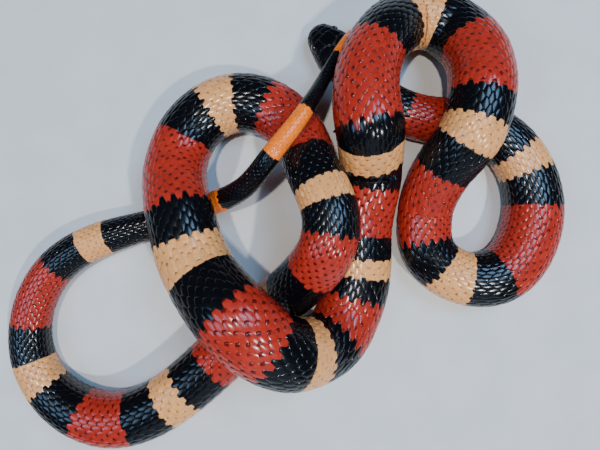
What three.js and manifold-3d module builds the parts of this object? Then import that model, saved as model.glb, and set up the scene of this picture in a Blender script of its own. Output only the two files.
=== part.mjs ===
import * as THREE from "three";
import Module from "manifold-3d";

const wasm = await Module();
wasm.setup();

// All sizes are millimetres. +Z is up and z = 0 is the floor the snake lies on.
// The snake's course is measured from the point of the floor below the middle of the picture.
const PICTURE_MIDDLE = [5.67, -1.92];

// One row for each turn of the body, from the snout to the tip of the tail:
// x, y, height of the belly over the floor, width of the body
const COURSE = [
  // head and neck, running under the two raised strands
  [4.5, 70, 0, 8.5], [15, 58.5, 0, 13], [26, 46.5, 0, 14.9], [41.5, 38, 0, 16.1], [67, 33, 0, 17.2],
  // right loop, on the floor
  [79.5, 18, 0, 18.6], [80.5, -1.5, 0, 19.7], [70, -17, 0, 19.9], [57.5, -18.5, 0, 19.2],
  [45, -9.5, 0, 18.8], [43.4, 2.5, 0.5, 18.8],
  // rise over the neck
  [46.8, 17.3, 7.5, 19.6], [54.5, 30.5, 15.5, 20.3], [57.5, 42, 14.5, 20.9], [58.5, 54, 9.5, 21],
  // arc at the back
  [50.5, 69, 1.5, 20.4], [41, 71.5, 1, 20],
  // second strand over the head and neck
  [27, 61, 9.5, 20], [21.5, 49, 14, 20.8], [21.5, 31.5, 16.8, 21.8], [23.9, 17.5, 3.6, 21.3],
  // straight run forward and the tight turn at the front
  [21, 0, 0, 22], [20.5, -15, 0, 22.2], [17.8, -27.5, 0, 22.4], [9, -39.5, 6, 22.6],
  [-4.5, -39.3, 17.5, 23.4],
  // thickest strand, over the last part of the trunk and over the tail
  [-17.5, -29.5, 22, 24.2], [-32, -14, 14, 23.2], [-39, 4.5, 11, 21.8], [-42, 15.5, 5.5, 21.2],
  // left loop, on the floor
  [-41, 26.5, 1.5, 20.6], [-31, 39.5, 0, 20.2], [-18, 42.5, 0, 20.2], [-5, 36.5, 1, 19.7],
  // strand that rests on the straight run
  [0.5, 28.5, 5.5, 18.8], [3.5, 19, 13.5, 17.8], [9.2, 3.5, 19.5, 18.2], [8.8, -5, 20, 18.2],
  [-1, -20, 8, 18.2], [-8.5, -27.5, 0, 18.8],
  // big open ring at the front left, on the floor
  [-25, -43, 0, 19.6], [-42.5, -58.5, 0, 19.4], [-64, -68, 0, 18.8], [-76, -66, 0, 17.6],
  [-92.5, -52, 0, 14.4], [-95, -31.5, 0, 13.4], [-85, -13.5, 0, 13.3], [-70.5, -5, 0, 12.6],
  [-53, 0.5, 0, 10.6],
  // tail, climbing over the left loop and across the head
  [-35.5, 6.5, 1, 8.9], [-19, 12, 14, 7.5], [-7.5, 23.5, 24, 6.4], [1, 35, 22.3, 5.6],
  [8.6, 49.5, 14.7, 4.5], [14.3, 61, 12, 2.9], [17.9, 67.6, 7.6, 1.8],
];

const HEIGHT_TO_WIDTH = 0.86;
const BACK_ROUNDNESS = 2;
const BELLY_ROUNDNESS = 3.2;
const BODY_SIDES = 16;
const RING_STEP = 4.9;
const JOIN_GAP = 0.3;

// Lengths of the body, measured along the belly from the snout
const HEAD_LENGTH = 24.5;
const NECK_END = 61;
const VENT = 822;
const TRUNK_PIECES = 13;
const TAIL_PIECES = 3;

// Head: distance from the snout, half width, height of the crown, height of the underside
const HEAD_PROFILE = [
  [0.1, 1.3, 5.2, 3.2],
  [0.6, 2.6, 6.1, 2.1],
  [1.6, 3.9, 7.0, 1.1],
  [3.2, 4.9, 7.9, 0.4],
  [5.6, 5.8, 8.9, 0],
  [8.6, 6.8, 9.8, 0],
  [12, 7.6, 10.4, 0],
  [16, 8.0, 10.8, 0],
  [20, 7.7, 11.1, 0],
  [24.35, 7.0, 11.7, 0],
];
const HEAD_SIDES = 20;
const HEAD_ROUNDNESS = 2.5;
// The closed mouth seen from the side: distance from the snout, height
const MOUTH_LINE = [[-1, 3.5], [2, 3.3], [7, 2.9], [12, 3.2], [17, 4.3]];
// How far the cut along the mouth reaches past the head, to each side and below
const CUT_REACH = { aside: 12, below: -2 };
const EYE = { behindSnout: 6.0, outFromMiddle: 4.6, height: 6.5, radius: 1.45 };
// Bands of faces from pole to pole of the eyes and of their sockets
const EYE_BANDS = 8;
const SOCKET_BANDS = 7;

// Slopes of a smooth curve through values at rising positions, free at both ends
function naturalSlopes(at, values) {
  const last = at.length - 1;
  const bend = new Array(at.length).fill(0);
  const carry = new Array(at.length).fill(0);
  for (let i = 1; i < last; i += 1) {
    const before = at[i] - at[i - 1];
    const after = at[i + 1] - at[i];
    const rise = (values[i + 1] - values[i]) / after - (values[i] - values[i - 1]) / before;
    const pivot = 2 * (before + after) - before * carry[i - 1];
    carry[i] = after / pivot;
    bend[i] = (6 * rise - before * bend[i - 1]) / pivot;
  }
  for (let i = last - 1; i > 0; i -= 1) {
    bend[i] -= carry[i] * bend[i + 1];
  }
  return at.map((_, i) => {
    const from = Math.min(i, last - 1);
    const span = at[from + 1] - at[from];
    const chord = (values[from + 1] - values[from]) / span;
    const pull = i === last ? bend[from] + 2 * bend[last] : -(2 * bend[from] + bend[from + 1]);
    return chord + (pull * span) / 6;
  });
}

// Slopes of a curve that never swings past its own values
function levelSlopes(at, values) {
  const last = at.length - 1;
  const chord = (i) => (values[i + 1] - values[i]) / (at[i + 1] - at[i]);
  return at.map((_, i) => {
    if (i === 0 || i === last) {
      return chord(Math.min(i, last - 1));
    }
    const before = chord(i - 1);
    const after = chord(i);
    if (before * after <= 0) {
      return 0;
    }
    const left = at[i] - at[i - 1];
    const right = at[i + 1] - at[i];
    const weightBefore = 2 * right + left;
    const weightAfter = right + 2 * left;
    return (weightBefore + weightAfter) / (weightBefore / before + weightAfter / after);
  });
}

// Value of the curve with given slopes at one position
function curveAt(at, values, slopes, position) {
  let i = 0;
  while (i < at.length - 2 && at[i + 1] <= position) {
    i += 1;
  }
  const span = at[i + 1] - at[i];
  const u = (position - at[i]) / span;
  const v = 1 - u;
  return (
    (1 + 2 * u) * v * v * values[i] +
    u * v * v * span * slopes[i] +
    u * u * (3 - 2 * u) * values[i + 1] -
    u * u * v * span * slopes[i + 1]
  );
}

function column(index, shift = 0) {
  return COURSE.map((row) => row[index] + shift);
}

const xs = column(0, PICTURE_MIDDLE[0]);
const ys = column(1, PICTURE_MIDDLE[1]);
const lifts = column(2);
const widths = column(3);
const marks = xs.map(() => 0);
for (let i = 1; i < marks.length; i += 1) {
  marks[i] = marks[i - 1] + Math.hypot(xs[i] - xs[i - 1], ys[i] - ys[i - 1]);
}
const xSlopes = naturalSlopes(marks, xs);
const ySlopes = naturalSlopes(marks, ys);
const liftSlopes = levelSlopes(marks, lifts);
const widthSlopes = levelSlopes(marks, widths);

function bellyPoint(mark) {
  return new THREE.Vector3(
    curveAt(marks, xs, xSlopes, mark),
    curveAt(marks, ys, ySlopes, mark),
    curveAt(marks, lifts, liftSlopes, mark),
  );
}

// Table from the true length along the belly to the mark along the course
const TABLE_STEPS = 3000;
const courseEnd = marks[marks.length - 1];
const lengths = [0];
let previous = bellyPoint(0);
for (let i = 1; i <= TABLE_STEPS; i += 1) {
  const next = bellyPoint((courseEnd * i) / TABLE_STEPS);
  lengths.push(lengths[i - 1] + next.distanceTo(previous));
  previous = next;
}
const BODY_LENGTH = lengths[TABLE_STEPS];

function markAt(length) {
  let low = 0;
  let high = TABLE_STEPS;
  while (high - low > 1) {
    const middle = (low + high) >> 1;
    if (lengths[middle] <= length) {
      low = middle;
    } else {
      high = middle;
    }
  }
  const share = (length - lengths[low]) / (lengths[high] - lengths[low]);
  return (courseEnd * (low + share)) / TABLE_STEPS;
}

// How far to either side of a mark the course is looked at for its direction
const DIRECTION_REACH = 0.25;

// Middle of the body at a length, with its directions: towards the tail, the snake's right, and up
function bodyFrame(length) {
  const mark = markAt(length);
  const behind = bellyPoint(Math.min(mark + DIRECTION_REACH, courseEnd));
  const tailward = behind.sub(bellyPoint(Math.max(mark - DIRECTION_REACH, 0))).normalize();
  const right = new THREE.Vector3().crossVectors(new THREE.Vector3(0, 0, 1), tailward).normalize();
  const up = new THREE.Vector3().crossVectors(tailward, right);
  const width = curveAt(marks, widths, widthSlopes, mark);
  const middle = bellyPoint(mark);
  middle.z += (width * HEIGHT_TO_WIDTH) / 2;
  return { middle, tailward, right, up, width };
}

function rounded(value, roundness) {
  return Math.sign(value) * Math.abs(value) ** (2 / roundness);
}

// Loaf outline round the middle of the body, level along the belly
function bodyOutline(width) {
  const halfHeight = (width * HEIGHT_TO_WIDTH) / 2;
  const step = (2 * Math.PI) / BODY_SIDES;
  const bellyReach = Math.cos(step / 2) ** (2 / BELLY_ROUNDNESS);
  const outline = [];
  for (let k = 0; k < BODY_SIDES; k += 1) {
    const angle = (k + 0.5) * step;
    const below = Math.sin(angle) < 0;
    const roundness = below ? BELLY_ROUNDNESS : BACK_ROUNDNESS;
    const reach = below ? bellyReach : 1;
    outline.push([
      (rounded(Math.cos(angle), roundness) * width) / 2,
      (rounded(Math.sin(angle), roundness) * halfHeight) / reach,
    ]);
  }
  return outline;
}

// Closed solid through rings of points, fanned shut at both ends
function loft(rings) {
  const sides = rings[0].length;
  const points = rings.flat();
  const faces = [];
  for (let r = 0; r + 1 < rings.length; r += 1) {
    for (let k = 0; k < sides; k += 1) {
      const a = r * sides + k;
      const b = r * sides + ((k + 1) % sides);
      faces.push(a, b, a + sides, b, b + sides, a + sides);
    }
  }
  const last = (rings.length - 1) * sides;
  for (let k = 1; k + 1 < sides; k += 1) {
    faces.push(0, k + 1, k);
    faces.push(last, last + k, last + k + 1);
  }
  const geometry = new THREE.BufferGeometry();
  geometry.setAttribute("position", new THREE.Float32BufferAttribute(points.flatMap((p) => p.toArray()), 3));
  geometry.setIndex(faces);
  return geometry;
}

function bodyRing(length) {
  const frame = bodyFrame(length);
  return bodyOutline(frame.width).map(([across, upward]) =>
    frame.middle.clone().addScaledVector(frame.right, across).addScaledVector(frame.up, upward),
  );
}

// One length of the body between two distances from the snout
function bodyPiece(from, to) {
  const steps = Math.ceil((to - from) / RING_STEP);
  const rings = [];
  for (let i = 0; i <= steps; i += 1) {
    rings.push(bodyRing(from + ((to - from) * i) / steps));
  }
  return loft(rings);
}

// The head is worked out straight, along its own axis, and then laid on the floor
function headSolid() {
  const reach = Math.cos(Math.PI / HEAD_SIDES) ** (2 / HEAD_ROUNDNESS);
  const rings = HEAD_PROFILE.map(([back, halfWidth, crown, underside]) => {
    const middle = (crown + underside) / 2;
    const halfHeight = (crown - underside) / 2;
    const ring = [];
    for (let k = 0; k < HEAD_SIDES; k += 1) {
      const angle = ((k + 0.5) * 2 * Math.PI) / HEAD_SIDES;
      const across = rounded(Math.cos(angle), HEAD_ROUNDNESS) * halfWidth;
      const upward = (rounded(Math.sin(angle), HEAD_ROUNDNESS) * halfHeight) / reach;
      ring.push(new THREE.Vector3(back, across, middle + upward));
    }
    return ring;
  });
  return loft(rings);
}

function toManifold(geometry) {
  return new wasm.Manifold(
    new wasm.Mesh({
      numProp: 3,
      vertProperties: new Float32Array(geometry.attributes.position.array),
      triVerts: new Uint32Array(geometry.index.array),
    }),
  );
}

function toGeometry(manifold) {
  const mesh = manifold.getMesh();
  const geometry = new THREE.BufferGeometry();
  geometry.setAttribute("position", new THREE.Float32BufferAttribute(mesh.vertProperties, 3));
  geometry.setIndex(Array.from(mesh.triVerts));
  return geometry;
}

// Everything below the mouth line, moved down or up by a shift, as far back as the jaw corner
function belowMouth(shift, pastCorner) {
  const { aside, below } = CUT_REACH;
  const corner = MOUTH_LINE[MOUTH_LINE.length - 1];
  const edge = MOUTH_LINE.slice(0, -1).map(([back, height]) => [back, height + shift]);
  const back = corner[0] + pastCorner;
  const outline = [[MOUTH_LINE[0][0], below], ...edge, [back, corner[1] + shift], [back, below]];
  const rings = [-aside, aside].map((across) =>
    outline.map(([back, height]) => new THREE.Vector3(back, across, height)),
  );
  return toManifold(loft(rings));
}

// Points of a ball are matched to this many parts of a millimetre
const MATCH_PARTS = 1e4;

// Ball with every point kept once, so that it is closed
function ball(radius, bands) {
  const sphere = new THREE.SphereGeometry(radius, bands * 2, bands);
  const seen = new Map();
  const points = [];
  const place = sphere.attributes.position;
  const renumber = [];
  for (let i = 0; i < place.count; i += 1) {
    const point = new THREE.Vector3().fromBufferAttribute(place, i).toArray();
    const key = point.map((value) => Math.round(value * MATCH_PARTS)).join();
    if (!seen.has(key)) {
      seen.set(key, points.length / 3);
      points.push(...point);
    }
    renumber.push(seen.get(key));
  }
  const geometry = new THREE.BufferGeometry();
  geometry.setAttribute("position", new THREE.Float32BufferAttribute(points, 3));
  const faces = Array.from(sphere.index.array, (i) => renumber[i]);
  geometry.setIndex(faces);
  return geometry;
}

// Turns a straight head piece to lie along the course
function layAlongNeck(geometry) {
  const place = geometry.attributes.position;
  for (let i = 0; i < place.count; i += 1) {
    const back = place.getX(i);
    const frame = bodyFrame(Math.max(back, 0));
    const point = frame.middle.clone().setZ(place.getZ(i));
    point.addScaledVector(frame.right, place.getY(i));
    point.addScaledVector(frame.tailward, Math.min(back, 0));
    place.setXYZ(i, point.x, point.y, point.z);
  }
  return geometry;
}

const group = new THREE.Group();

function add(name, geometry, color) {
  const flat = geometry.toNonIndexed();
  flat.computeVertexNormals();
  const mesh = new THREE.Mesh(flat, new THREE.MeshStandardMaterial({ color, roughness: 0.35 }));
  mesh.name = name;
  group.add(mesh);
}

const BLACK = 0x16161a;
const RED = 0xb8452f;
const CREAM = 0xd9b48a;

const whole = toManifold(headSolid());
const socket = EYE.radius + JOIN_GAP;
const eyes = { eye_left: -1, eye_right: 1 };
let upper = whole.subtract(belowMouth(JOIN_GAP / 2, JOIN_GAP));
for (const side of Object.values(eyes)) {
  const hollow = ball(socket, SOCKET_BANDS).translate(EYE.behindSnout, side * EYE.outFromMiddle, EYE.height);
  upper = upper.subtract(toManifold(hollow));
}
add("head", layAlongNeck(toGeometry(upper)), BLACK);
add("lower_jaw", layAlongNeck(toGeometry(whole.intersect(belowMouth(-JOIN_GAP / 2, 0)))), BLACK);
for (const [name, side] of Object.entries(eyes)) {
  const eye = ball(EYE.radius, EYE_BANDS).translate(EYE.behindSnout, side * EYE.outFromMiddle, EYE.height);
  add(name, layAlongNeck(eye), BLACK);
}
add("neck", bodyPiece(HEAD_LENGTH, NECK_END - JOIN_GAP), CREAM);

const trunkLength = (VENT - NECK_END) / TRUNK_PIECES;
for (let i = 0; i < TRUNK_PIECES; i += 1) {
  const from = NECK_END + i * trunkLength;
  add(`trunk_${i + 1}`, bodyPiece(from, from + trunkLength - JOIN_GAP), RED);
}

const tailLength = (BODY_LENGTH - VENT) / TAIL_PIECES;
for (let i = 0; i < TAIL_PIECES; i += 1) {
  const from = VENT + i * tailLength;
  const gap = i + 1 < TAIL_PIECES ? JOIN_GAP : 0;
  add(`tail_${i + 1}`, bodyPiece(from, from + tailLength - gap), BLACK);
}

export default group;
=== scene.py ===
import math

import bpy
import numpy as np
from bpy.props import FloatProperty, FloatVectorProperty, PointerProperty
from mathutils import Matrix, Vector


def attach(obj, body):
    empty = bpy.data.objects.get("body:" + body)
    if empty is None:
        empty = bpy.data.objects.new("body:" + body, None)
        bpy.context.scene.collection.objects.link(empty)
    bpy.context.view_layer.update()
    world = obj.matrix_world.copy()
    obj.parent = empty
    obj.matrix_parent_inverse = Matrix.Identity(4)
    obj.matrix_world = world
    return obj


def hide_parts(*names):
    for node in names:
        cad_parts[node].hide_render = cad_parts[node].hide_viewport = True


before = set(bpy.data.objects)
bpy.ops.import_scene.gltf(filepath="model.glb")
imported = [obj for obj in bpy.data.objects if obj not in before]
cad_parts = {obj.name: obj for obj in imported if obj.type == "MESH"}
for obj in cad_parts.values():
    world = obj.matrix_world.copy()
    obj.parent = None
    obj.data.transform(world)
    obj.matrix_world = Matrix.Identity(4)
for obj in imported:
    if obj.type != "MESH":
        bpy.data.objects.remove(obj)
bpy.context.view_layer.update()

bl_info = {
    "name": "Milk snake",
    "version": (1, 0, 0),
    "blender": (4, 5, 0),
    "location": "View3D > Sidebar > Snake",
    "description": "Skin, scales, head shields and eyes of a resting milk snake",
    "category": "Object",
}

# Sizes of the body are millimetres, as in the solids, and turn to metres where a mesh is made
MM = 0.001
PICTURE_MIDDLE = (5.67, -1.92)
CAMERA_HEIGHT = 165.0
CAMERA_LENS = 27.0
CAMERA_SENSOR = 36
# Nearest distance that the camera sees, in metres
CAMERA_NEAR = 0.005

# One row for each turn of the body, from the snout to the tip of the tail:
# x, y, height of the belly over the floor, width of the body
COURSE = (
    # head and neck, running under the two raised strands
    (4.5, 70, 0, 8.5), (15, 58.5, 0, 13), (26, 46.5, 0, 14.9), (41.5, 38, 0, 16.1), (67, 33, 0, 17.2),
    # right loop, on the floor
    (79.5, 18, 0, 18.6), (80.5, -1.5, 0, 19.7), (70, -17, 0, 19.9), (57.5, -18.5, 0, 19.2),
    (45, -9.5, 0, 18.8), (43.4, 2.5, 0.5, 18.8),
    # rise over the neck
    (46.8, 17.3, 7.5, 19.6), (54.5, 30.5, 15.5, 20.3), (57.5, 42, 14.5, 20.9), (58.5, 54, 9.5, 21),
    # arc at the back
    (50.5, 69, 1.5, 20.4), (41, 71.5, 1, 20),
    # second strand over the head and neck
    (27, 61, 9.5, 20), (21.5, 49, 14, 20.8), (21.5, 31.5, 16.8, 21.8), (23.9, 17.5, 3.6, 21.3),
    # straight run forward and the tight turn at the front
    (21, 0, 0, 22), (20.5, -15, 0, 22.2), (17.8, -27.5, 0, 22.4), (9, -39.5, 6, 22.6),
    (-4.5, -39.3, 17.5, 23.4),
    # thickest strand, over the last part of the trunk and over the tail
    (-17.5, -29.5, 22, 24.2), (-32, -14, 14, 23.2), (-39, 4.5, 11, 21.8), (-42, 15.5, 5.5, 21.2),
    # left loop, on the floor
    (-41, 26.5, 1.5, 20.6), (-31, 39.5, 0, 20.2), (-18, 42.5, 0, 20.2), (-5, 36.5, 1, 19.7),
    # strand that rests on the straight run
    (0.5, 28.5, 5.5, 18.8), (3.5, 19, 13.5, 17.8), (9.2, 3.5, 19.5, 18.2), (8.8, -5, 20, 18.2),
    (-1, -20, 8, 18.2), (-8.5, -27.5, 0, 18.8),
    # big open ring at the front left, on the floor
    (-25, -43, 0, 19.6), (-42.5, -58.5, 0, 19.4), (-64, -68, 0, 18.8), (-76, -66, 0, 17.6),
    (-92.5, -52, 0, 14.4), (-95, -31.5, 0, 13.4), (-85, -13.5, 0, 13.3), (-70.5, -5, 0, 12.6),
    (-53, 0.5, 0, 10.6),
    # tail, climbing over the left loop and across the head
    (-35.5, 6.5, 1, 8.9), (-19, 12, 14, 7.5), (-7.5, 23.5, 24, 6.4), (1, 35, 22.3, 5.6),
    (8.6, 49.5, 14.7, 4.5), (14.3, 61, 12, 2.9), (17.9, 67.6, 7.6, 1.8),
)

HEIGHT_TO_WIDTH = 0.86
BACK_ROUNDNESS = 2.0
BELLY_ROUNDNESS = 3.2
HEAD_ROUNDNESS = 2.5
# Where the head's section starts to turn into the body's, and where it is the body's
HEAD_TO_NECK = (19.5, 28.5)
VENT = 822.0
TAIL_TIP_LENGTH = 1.2

# Head: distance from the snout, half width, height of the crown, height of the underside
HEAD_PROFILE = (
    (0, 0.2, 4.2, 4.0),
    (0.1, 1.3, 5.2, 3.2),
    (0.6, 2.6, 6.1, 2.1),
    (1.6, 3.9, 7.0, 1.1),
    (3.2, 4.9, 7.9, 0.4),
    (5.6, 5.8, 8.9, 0),
    (8.6, 6.8, 9.8, 0),
    (12, 7.6, 10.4, 0),
    (16, 8.0, 10.8, 0),
    (20, 7.7, 11.1, 0),
    (24.35, 7.0, 11.7, 0),
)
# The closed mouth: distance from the snout, degrees round from the crown's midline
MOUTH_LINE = ((0, 93), (1, 96), (3.2, 99), (7, 106), (12, 107.5), (15, 103), (17, 98))
EYE_BEHIND_SNOUT = 6.0
EYE_OUT = 4.6
EYE_HEIGHT = 6.5
EYE_RADIUS = 1.45

# Rings of colour: distance from the snout where each ends, in turns of black, cream, black and red
TRUNK_RINGS = (
    (23.5, 31.5, 45.5, 75), (86.5, 95, 107, 134.5), (147, 157.5, 168, 193), (205.3, 212, 220.7, 243.8),
    (258.3, 272, 289.5, 316.5), (321.8, 330, 340.4, 358.8), (366.5, 372.3, 379.5, 395),
    (405.1, 413.1, 423.5, 439.5), (454.5, 467.5, 478.2, 505.2), (518.5, 528, 539, 567.4),
    (579, 585.5, 595, 609.3), (624.5, 639.5, 649.5, 663.2), (675, 684.3, 697.3, 715.2),
    (730.5, 741.5, 754, 777), (789, 798.5, 817.5, 827),
)
# The same on the tail, in turns of black and orange
TAIL_RINGS = ((835, 845), (872, 890), (916, 999))

TABLE_STEPS = 4000
SECTION_STEPS = 1440
# Half the way between the points that a normal is worked out from: along the body, and round it
NORMAL_STEP = 0.04
NORMAL_TURN = 0.0015


def natural_slopes(at, values):
    """Slopes of the smoothest curve through values at rising positions, free at both ends."""
    count = len(at)
    span = np.diff(at)
    matrix = np.zeros((count, count))
    right = np.zeros(count)
    matrix[0, 0] = matrix[-1, -1] = 1
    for i in range(1, count - 1):
        matrix[i, i - 1 : i + 2] = span[i - 1], 2 * (span[i - 1] + span[i]), span[i]
        right[i] = 6 * ((values[i + 1] - values[i]) / span[i] - (values[i] - values[i - 1]) / span[i - 1])
    bend = np.linalg.solve(matrix, right)
    chord = np.diff(values) / span
    slopes = chord - span * (2 * bend[:-1] + bend[1:]) / 6
    last = chord[-1] + span[-1] * (bend[-2] + 2 * bend[-1]) / 6
    return np.append(slopes, last)


def level_slopes(at, values):
    """Slopes of a curve that never swings past its own values."""
    span = np.diff(at)
    chord = np.diff(values) / span
    slopes = np.zeros(len(at))
    for i in range(1, len(at) - 1):
        if chord[i - 1] * chord[i] > 0:
            before = 2 * span[i] + span[i - 1]
            after = span[i] + 2 * span[i - 1]
            slopes[i] = (before + after) / (before / chord[i - 1] + after / chord[i])
    slopes[0] = chord[0]
    slopes[-1] = chord[-1]
    return slopes


def curve_at(at, values, slopes, position):
    """Values of the curve with these slopes at many positions."""
    i = np.clip(np.searchsorted(at, position, side="right") - 1, 0, len(at) - 2)
    span = at[i + 1] - at[i]
    u = (position - at[i]) / span
    v = 1 - u
    start = (1 + 2 * u) * v * v * values[i] + u * v * v * span * slopes[i]
    end = u * u * (3 - 2 * u) * values[i + 1] - u * u * v * span * slopes[i + 1]
    return start + end


def unit(vectors):
    """Vectors of length one, along the last axis."""
    return vectors / np.maximum(np.linalg.norm(vectors, axis=-1, keepdims=True), 1e-12)


def ease(low, high, value):
    """0 below low, 1 above high, and a smooth step between."""
    share = np.clip((value - low) / (high - low), 0, 1)
    return share * share * (3 - 2 * share)


def lay_course():
    """The belly line with its directions, tabled at even steps: length, point, tailward, right, up, width."""
    rows = np.array(COURSE, float)
    x = rows[:, 0] + PICTURE_MIDDLE[0]
    y = rows[:, 1] + PICTURE_MIDDLE[1]
    marks = np.concatenate([[0], np.cumsum(np.hypot(np.diff(x), np.diff(y)))])
    position = np.linspace(0, marks[-1], TABLE_STEPS + 1)
    belly = np.stack(
        [
            curve_at(marks, x, natural_slopes(marks, x), position),
            curve_at(marks, y, natural_slopes(marks, y), position),
            curve_at(marks, rows[:, 2], level_slopes(marks, rows[:, 2]), position),
        ],
        axis=1,
    )
    width = curve_at(marks, rows[:, 3], level_slopes(marks, rows[:, 3]), position)
    length = np.concatenate([[0], np.cumsum(np.linalg.norm(np.diff(belly, axis=0), axis=1))])
    tailward = unit(np.gradient(belly, axis=0))
    right = unit(np.cross([0, 0, 1], tailward))
    up = np.cross(tailward, right)
    return length, belly, tailward, right, up, width


LENGTH, BELLY, TAILWARD, RIGHT, UP, WIDTH = lay_course()
BODY_LENGTH = LENGTH[-1]


def width_at(length):
    return np.interp(length, LENGTH, WIDTH)


def lay_section():
    """The body's outline round half a turn: share of the whole way round, and its angle from the back."""
    angle = np.linspace(0, math.pi, SECTION_STEPS + 1)
    power = np.where(angle < math.pi / 2, 2 / BACK_ROUNDNESS, 2 / BELLY_ROUNDNESS)
    across = np.abs(np.sin(angle)) ** power
    upward = HEIGHT_TO_WIDTH * np.sign(np.cos(angle)) * np.abs(np.cos(angle)) ** power
    way = np.concatenate([[0], np.cumsum(np.hypot(np.diff(across), np.diff(upward)))])
    return way / way[-1] / 2, angle, way[-1]


TURN, ANGLE, HALF_GIRTH_TO_HALF_WIDTH = lay_section()


def turn_of(degrees):
    """Share of the way round for an angle from the back's midline, keeping its sign."""
    degrees = (np.asarray(degrees, float) + 180) % 360 - 180
    return np.sign(degrees) * np.interp(np.radians(np.abs(degrees)), ANGLE, TURN)


def girth_at(length):
    return width_at(length) * HALF_GIRTH_TO_HALF_WIDTH


def head_column(index, length):
    """A column of the head's profile at a distance from the snout, rounded at the nose."""
    rows = np.array(HEAD_PROFILE, float)
    at = np.sqrt(rows[:, 0])
    values = rows[:, index]
    return curve_at(at, values, level_slopes(at, values), np.sqrt(np.clip(length, 0, rows[-1, 0])))


def tail_tip(length):
    """Share of the width that is left towards the tail's round end, as on a circle."""
    past = np.clip(length - (BODY_LENGTH - TAIL_TIP_LENGTH), 0, TAIL_TIP_LENGTH - 0.01) / TAIL_TIP_LENGTH
    return np.sqrt(1 - past * past)


def along_course(table, length):
    """Rows of a table of points or directions, read between its steps."""
    return np.stack([np.interp(length, LENGTH, table[:, k]) for k in range(3)], axis=-1)


def surface(length, turn):
    """Points on the body's outer surface. The section is a rounded loaf, |x/a|^n + |y/b|^n = 1, with its
    own n above and below, and turns into the head's deeper section over the last of the neck."""
    length = np.clip(length, 0, BODY_LENGTH)
    turn = (turn + 0.5) % 1 - 0.5
    angle = np.interp(np.abs(turn), TURN, ANGLE)
    head = 1 - ease(*HEAD_TO_NECK, length)
    taper = tail_tip(length)
    width = width_at(length)
    crown = head_column(2, length)
    underside = head_column(3, length)
    half_width = head * head_column(1, length) + (1 - head) * width / 2 * taper
    body_half = width * HEIGHT_TO_WIDTH / 2
    half_height = head * (crown - underside) / 2 + (1 - head) * body_half * taper
    middle = head * (crown + underside) / 2 + (1 - head) * body_half
    above = head * HEAD_ROUNDNESS + (1 - head) * BACK_ROUNDNESS
    below = head * HEAD_ROUNDNESS + (1 - head) * BELLY_ROUNDNESS
    power = 2 / np.where(angle < math.pi / 2, above, below)
    across = np.sign(turn) * half_width * np.abs(np.sin(angle)) ** power
    upward = half_height * np.sign(np.cos(angle)) * np.abs(np.cos(angle)) ** power
    point = along_course(BELLY, length)
    point[..., 2] += middle
    sideways = along_course(RIGHT, length) * across[..., None]
    return point + sideways + along_course(UP, length) * upward[..., None]


def on_body(length, turn, height):
    """Points at a height over the outer surface, along its normal, in metres."""
    length = np.clip(length, NORMAL_STEP / 2, BODY_LENGTH - NORMAL_STEP / 2)
    ahead = surface(length + NORMAL_STEP, turn) - surface(length - NORMAL_STEP, turn)
    around = surface(length, turn + NORMAL_TURN) - surface(length, turn - NORMAL_TURN)
    normal = unit(np.cross(ahead, around))
    return (surface(length, turn) + normal * np.asarray(height)[..., None]) * MM


# Width from which the coat has its full depth, and the least share of that depth
FULL_COAT_WIDTH = 14
THINNEST_COAT = 0.2


def slimness(length):
    """How thick skin and scales are here, as a share of their thickness on the trunk."""
    return np.clip(width_at(length) / FULL_COAT_WIDTH, THINNEST_COAT, 1)


# Height of the line that the scales are counted along, as a share of the body's
SPINE_HEIGHT = 0.75
# Least and most that the skin gives along the body where the spine bends
STRETCH = (0.6, 2.0)
# Widths of the rows from the middle of the back down one side, and the share of the way round they cover
ROW_WIDTHS = (1, 1, 1, 1, 1, 1, 1.05, 1.12, 1.2, 1.3, 1.42)
LAST_ROW = len(ROW_WIDTHS) - 1
DORSAL_SHARE = 0.325
# Rows that end before the tail's tip, in pairs so that their neighbours still alternate: row, where it ends
ROWS_END = ((4, 655), (5, 655), (3, 815), (6, 815), (2, 862), (7, 862), (1, 905), (8, 905))
ROW_FADE = 9.0
# Where each row begins behind the head shields
ROWS_BEGIN = (15.9, 15.8, 15.4, 14.7, 13.7, 13.2, 13.2, 13.2, 13.4, 14.7, 14.8)
PITCH_LEAST = 1.15
PITCH_TO_WIDTH = 0.128
COAT_PIECES = 8
TAIL_END = 1.4


def lay_scales():
    """Count of scales from the snout to each tabled length, along the spine, with a pitch that follows the
    body's width, and how long one scale's pitch is along the belly."""
    spine = BELLY + SPINE_HEIGHT * (surface(LENGTH, 0 * LENGTH) - BELLY)
    pitch = PITCH_LEAST + PITCH_TO_WIDTH * WIDTH
    stretch = np.linalg.norm(np.diff(spine, axis=0), axis=1) / np.diff(LENGTH)
    steps = np.clip(stretch, *STRETCH) * np.diff(LENGTH) * 2 / (pitch[1:] + pitch[:-1])
    count = np.concatenate([[0], np.cumsum(steps)])
    return count, np.gradient(LENGTH, count)


COUNT, BELLY_PITCH = lay_scales()


def pitch_at(length):
    return np.interp(length, LENGTH, BELLY_PITCH)


def rows_at(length):
    """Turn of each row's middle and its spacing, as shares of the way round, at many lengths."""
    widths = np.repeat(np.array(ROW_WIDTHS, float)[None, :], len(length), axis=0)
    for row, end in ROWS_END:
        widths[:, row] *= 1 - ease(end - ROW_FADE, end + 0.01, length)
    half = widths.copy()
    half[:, 0] /= 2
    outer = np.cumsum(half, axis=1)
    middle = outer - widths / 2
    middle[:, 0] = 0
    scale = DORSAL_SHARE / outer[:, -1:]
    return middle * scale, widths * scale


def size_setting(name, description, millimetres):
    return FloatProperty(
        name=name, description=description, default=millimetres * MM, unit="LENGTH", precision=5,
    )


def colour_setting(name, description, colour):
    return FloatVectorProperty(name=name, description=description, default=colour, subtype="COLOR_GAMMA")


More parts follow.
